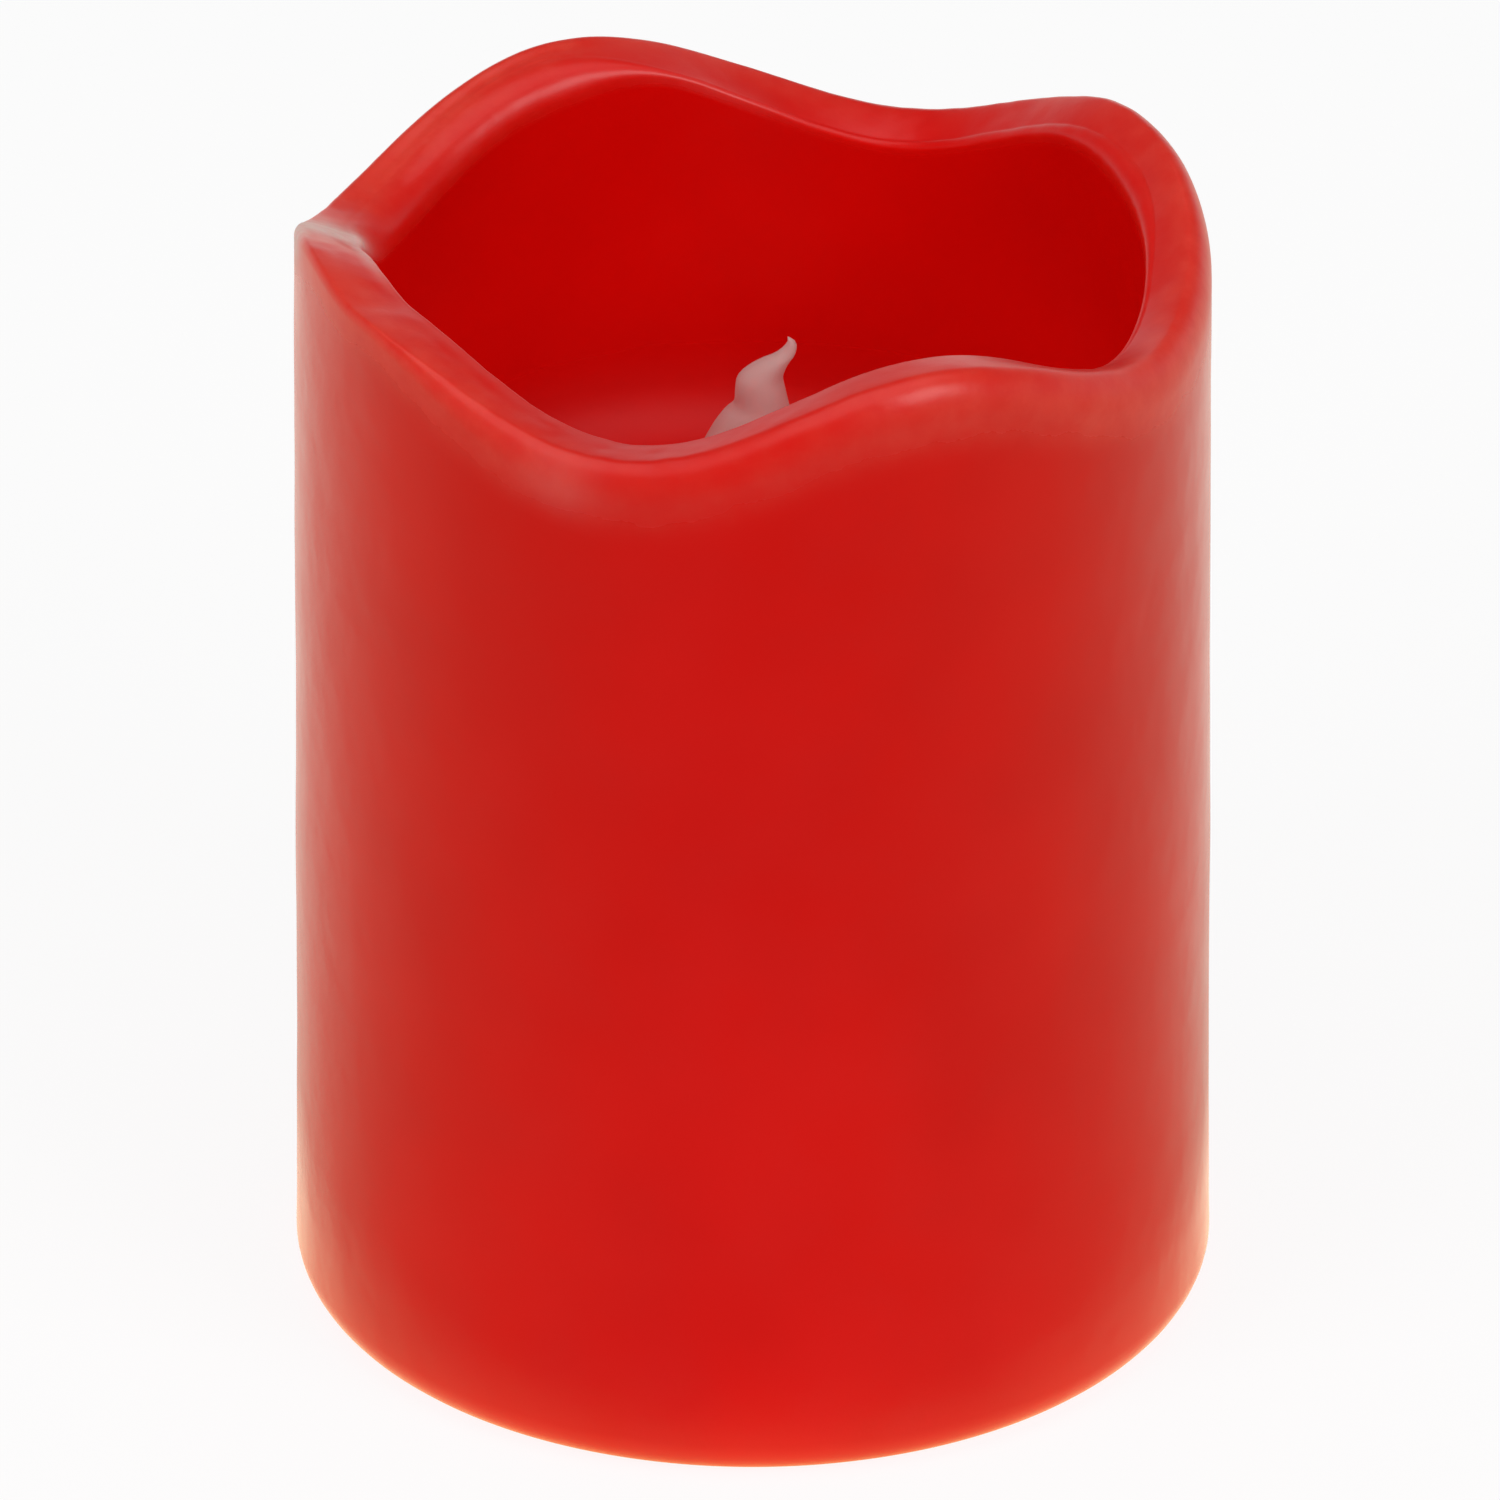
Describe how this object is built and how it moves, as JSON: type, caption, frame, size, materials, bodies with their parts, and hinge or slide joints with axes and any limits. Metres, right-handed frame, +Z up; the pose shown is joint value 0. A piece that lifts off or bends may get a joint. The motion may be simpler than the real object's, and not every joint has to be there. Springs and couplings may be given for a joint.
{
  "type": "flameless led candle",
  "caption": "Battery pillar candle: thick wax shell with a wavy melted rim, a moulded flame tip in a deep well, and a press-in base with a hinged battery door and slide switch.",
  "frame": {"origin": "middle of the foot ring, on the surface that the candle stands on", "axes": "+Z up along the pillar, -Y the front, +X to the right as seen from the front; the battery cells lie along X"},
  "size_m": [0.075, 0.075, 0.0995],
  "materials": {
    "red_wax": "satin red wax, slightly translucent, with a scraped melted rim",
    "case_plastic": "fine-textured off-white moulded plastic",
    "door_plastic": "fine-textured off-white moulded plastic",
    "flame_plastic": "smooth translucent milky plastic",
    "lamp_epoxy": "clear amber-tinted epoxy",
    "holder_plastic": "smooth off-white plastic",
    "nickel": "bright nickel plate",
    "spring_steel": "drawn steel wire",
    "zinc_screw": "zinc-plated steel",
    "board_laminate": "green solder mask over glass laminate",
    "chip_resin": "matt black moulding resin",
    "capacitor_sleeve": "dark shrunk sleeve over an aluminium can",
    "crystal_can": "drawn metal can",
    "resistor_body": "beige lacquer with colour bands",
    "insulator_laminate": "brown paper laminate",
    "switch_plastic": "black moulded plastic",
    "cell_jacket": "printed metal-film jacket with bare metal ends",
    "wire_red": "soft red insulation",
    "wire_black": "soft black insulation",
    "sleeve": "black heat-shrink sleeve"
  },
  "bodies": {
    "candle": {"wax_shell": "red_wax", "base_case": "case_plastic", "top_cover": "case_plastic", "led_holder": "holder_plastic", "led_lamp": "lamp_epoxy", "led_legs": "nickel", "led_sleeves": "sleeve", "flame_tip": "flame_plastic", "circuit_board": "board_laminate", "timer_chip": "chip_resin", "capacitor": "capacitor_sleeve", "timing_crystal": "crystal_can", "resistor": "resistor_body", "switch_frame": "nickel", "switch_insulator": "insulator_laminate", "switch_pins": "nickel", "cell_1": "cell_jacket", "cell_2": "cell_jacket", "cell_3": "cell_jacket", "positive_terminal": "nickel", "negative_terminal": "nickel", "bridge_contact_right": "nickel", "bridge_contact_left": "nickel", "contact_spring_1": "spring_steel", "contact_spring_2": "spring_steel", "contact_spring_3": "spring_steel", "base_screws": "zinc_screw", "board_screws": "zinc_screw", "battery_wire_positive": "wire_red", "battery_wire_negative": "wire_black", "led_wire_positive": "wire_red", "led_wire_negative": "wire_black"},
    "slider": {"switch_lever": "switch_plastic", "switch_knob": "switch_plastic"},
    "door": {"battery_door": "door_plastic"}
  },
  "joints": [
    {"name": "switch_slide", "type": "slide", "parent": "candle", "child": "slider", "axis": [1, 0, 0], "range_m": [-0.002, 0.002]},
    {"name": "door_hinge", "type": "hinge", "parent": "candle", "child": "door", "pos_m": [0, 0.017, 0.0015], "axis": [1, 0, 0], "range_deg": [0, 85]}
  ]
}
